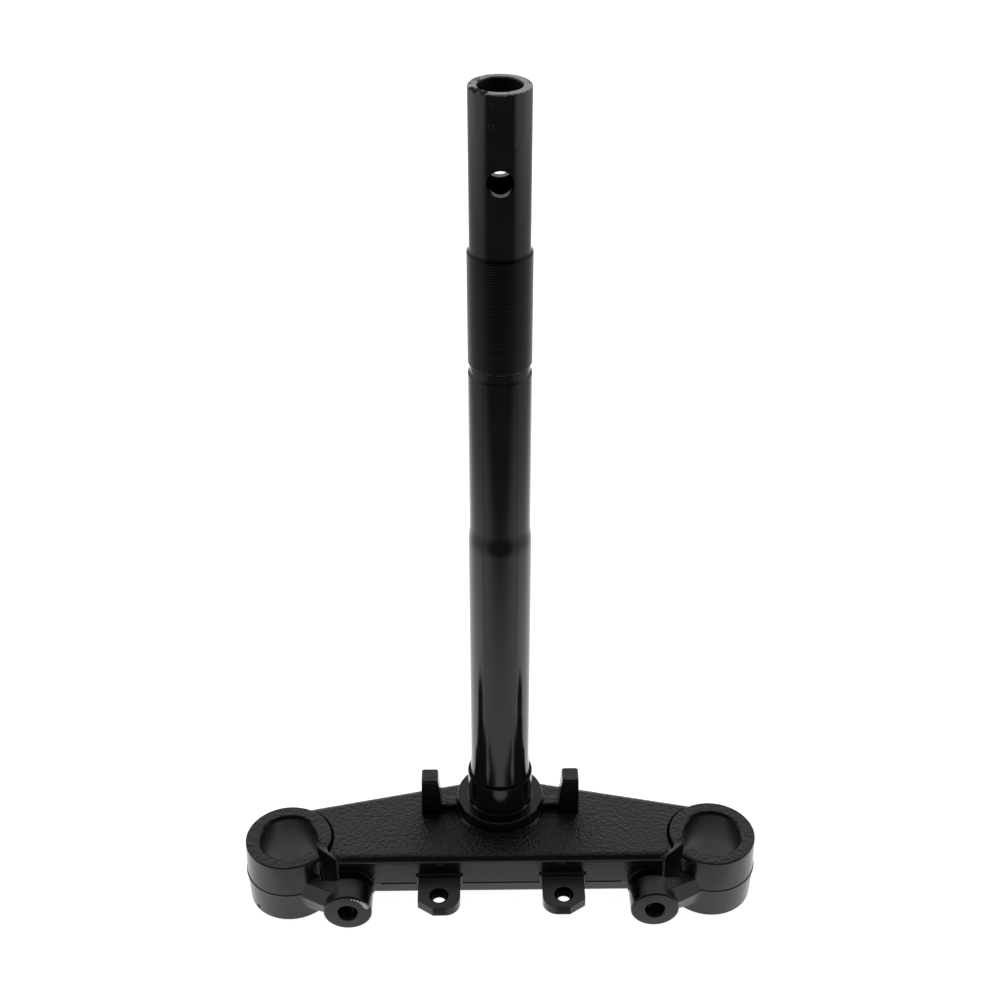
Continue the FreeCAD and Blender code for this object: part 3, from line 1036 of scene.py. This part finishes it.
@dataclass
class Studio:
    """White floor and soft light from the back and above, dark towards the camera, with painted shade on the
    floor that only reflections see. Sizes in metres.
    """

    floor_half: float = 4.0
    floor_white: Colour = (0.85, 0.85, 0.85, 1.0)
    floor_roughness: float = 0.9
    seen_glow: float = 0.95
    unseen_glow: float = 0.95
    # Painted shade on the floor, which only the part's reflections see: the floor dims past the near edge,
    # far ahead and to the sides, with a painted shadow of the yoke's front ahead of the tabs.
    near_edge: Span = (0.045, 0.068)
    near_left: float = 0.68
    shade_across: Span = (0.020, 0.072)
    shade_ahead: Span = (0.068, 0.083)
    shade_soft: float = 0.006
    dark_start: float = 0.12
    dark_end: float = 0.34
    dark_bow: float = 0.58
    side_start: float = 0.15
    side_end: float = 0.45
    side_left: float = 0.6
    side_dip: Span = (0.3, 0.85)
    dip_soft: float = 0.15
    dip_depth: float = 0.45
    shade_sheet_half: float = 3.0
    shade_sheet_lift: float = 0.0004
    shade_sheet_glow: float = 0.055
    back_low: float = 0.77
    back_high: float = 0.34
    back_rise: Span = (0.4, 1.0)
    back_tint: Colour = (0.97, 0.985, 1.05, 1.0)
    white: Colour = (1.0, 1.0, 1.0, 1.0)
    front_glow: float = 0.06
    front_edge: Span = (-0.25, 0.05)
    camera_place: tuple[float, float, float] = (-0.0075, -0.540, 0.5226)
    camera_pitch_deg: float = 33.45
    sensor_mm: float = 36.0
    focal_px: float = 1562.0
    image_px: float = 1000.0

    def sheet(self, name: str, half: float, level: float) -> bpy.types.Object:
        """Lays a level sheet that is no part of the object.

        Args:
            name: its name.
            half: half its side.
            level: its height.

        Returns:
            The sheet.
        """
        work = bmesh.new()
        corners = ((-half, -half), (half, -half), (half, half), (-half, half))
        work.faces.new([work.verts.new((x, y, level)) for x, y in corners])
        piece = new_object(name, work)
        return piece

    def lay_floor(self, level: float) -> None:
        """Lays the pale floor, which glows so that it stays white under the part.

        Args:
            level: the height of what the part stands on.
        """
        floor = self.sheet("studio_floor", self.floor_half, level)
        material = bpy.data.materials.new("studio_white")
        material.use_nodes = True
        board = Board(material.node_tree)
        shader = material.node_tree.nodes["Principled BSDF"]
        shader.inputs["Base Color"].default_value = self.floor_white
        shader.inputs["Roughness"].default_value = self.floor_roughness
        shader.inputs["Specular IOR Level"].default_value = 0.0
        shader.inputs["Emission Color"].default_value = self.white
        seen = board.add("ShaderNodeLightPath").outputs["Is Camera Ray"]
        glow = board.ramp(seen, 0.0, 1.0, self.unseen_glow, self.seen_glow)
        board.feed(shader.inputs["Emission Strength"], glow)
        floor.data.materials.append(material)

    def band(self, board: Board, value: Socket, span: Span, soft: float) -> Socket:
        """Marks a soft-edged band of values.

        Args:
            board: the material's nodes.
            value: what the band is measured on.
            span: the middles of the band's two edges.
            soft: half the width of an edge.

        Returns:
            A value that is 1 inside the band.
        """
        inside = board.ramp(value, span[0] - soft, span[0] + soft)
        before = board.ramp(value, span[1] + soft, span[1] - soft)
        return board.maths("MULTIPLY", inside, before)

    def shade_sheet_clear(self, board: Board) -> Socket:
        """Works out where the sheet of painted shade lets the floor through.

        Args:
            board: the shade sheet material's nodes.

        Returns:
            A value that is 1 where the sheet is clear.
        """
        place = board.add("ShaderNodeTexCoord").outputs["Object"]
        across = board.axis(place, "X")
        bow = board.maths("MULTIPLY", board.maths("POWER", across, 2.0), self.dark_bow)
        lead = board.maths("SUBTRACT", board.maths("MULTIPLY", board.axis(place, "Y"), -1.0), bow)
        aside = board.maths("ABSOLUTE", across)
        # A painted shadow of the yoke's front on the floor ahead of the tabs.
        shade = board.maths("MULTIPLY", self.band(board, aside, self.shade_across, self.shade_soft),
                            self.band(board, lead, self.shade_ahead, self.shade_soft))
        dip = board.maths("MULTIPLY", self.band(board, aside, self.side_dip, self.dip_soft), self.dip_depth)
        return board.product([
            board.ramp(lead, self.dark_start, self.dark_end, 1.0, 0.0),
            board.ramp(lead, *self.near_edge, 1.0, self.near_left),
            board.ramp(aside, self.side_start, self.side_end, 1.0, self.side_left),
            board.without(shade),
            board.without(dip),
        ])

    def lay_shade_sheet(self, level: float) -> None:
        """Lays a sheet of painted shade on the floor in front and at the sides, which only the part's gloss
        sees.

        Args:
            level: the floor's height.
        """
        # A sheet of painted shade on the floor, hidden from all but reflections.
        shade_sheet = self.sheet("studio_shade_sheet", self.shade_sheet_half, level + self.shade_sheet_lift)
        for sight in ("camera", "diffuse", "transmission", "volume_scatter", "shadow"):
            setattr(shade_sheet, "visible_" + sight, False)
        material = bpy.data.materials.new("studio_dark")
        material.use_nodes = True
        material.node_tree.nodes.clear()
        board = Board(material.node_tree)
        glow = board.add("ShaderNodeEmission", {"Strength": self.shade_sheet_glow})
        clear = board.add("ShaderNodeBsdfTransparent")
        mixed = board.add("ShaderNodeMixShader")
        board.feed(mixed.inputs[0], self.shade_sheet_clear(board))
        board.feed(mixed.inputs[1], glow.outputs["Emission"])
        board.feed(mixed.inputs[2], clear.outputs["BSDF"])
        board.add("ShaderNodeOutputMaterial", {"Surface": mixed.outputs["Shader"]})
        shade_sheet.data.materials.append(material)

    def light(self) -> None:
        """Lights the room: soft white behind and above, and dark towards the camera."""
        world = bpy.data.worlds.new("studio")
        world.use_nodes = True
        world.node_tree.nodes.clear()
        board = Board(world.node_tree)
        way = board.add("ShaderNodeTexCoord").outputs["Generated"]
        bright = board.ramp(board.axis(way, "Z"), *self.back_rise, self.back_low, self.back_high)
        behind = board.ramp(board.axis(way, "Y"), *self.front_edge)
        room = board.maths("ADD", board.maths("MULTIPLY", bright, behind), self.front_glow)
        seen = board.add("ShaderNodeLightPath").outputs["Is Camera Ray"]
        back = board.add("ShaderNodeBackground", {
            "Color": board.blend(seen, self.back_tint, self.white),
            "Strength": board.maths("MAXIMUM", room, seen),
        })
        board.add("ShaderNodeOutputWorld", {"Surface": back.outputs["Background"]})
        bpy.context.scene.world = world
        bpy.context.scene.view_settings.view_transform = "Standard"

    def place_camera(self) -> None:
        """Sets the camera where the photograph was taken from."""
        data = bpy.data.cameras.new("studio_camera")
        data.sensor_width = self.sensor_mm
        data.lens = self.sensor_mm * self.focal_px / self.image_px
        camera = bpy.data.objects.new("studio_camera", data)
        camera.location = self.camera_place
        yaw = math.atan2(-self.camera_place[0], -self.camera_place[1])
        camera.rotation_euler = (math.radians(90 - self.camera_pitch_deg), 0.0, -yaw)
        bpy.context.scene.collection.objects.link(camera)
        bpy.context.scene.camera = camera

    def build(self) -> None:
        """Builds floor, sheet of painted shade, light and camera."""
        level = CAD_BOX[0][2]
        self.lay_floor(level)
        self.lay_shade_sheet(level)
        self.light()
        self.place_camera()
        log.info("studio: floor at %.4f m", level)


def main() -> None:
    """Builds the pieces in order, then the studio."""
    logging.basicConfig(level=logging.INFO)
    make_paint_skin()
    make_worn_spot()
    SteeringStem(StemPaint()).build()
    LowerYoke(YokePaint()).dress()
    Studio().build()


if __name__ == "__main__":
    main()
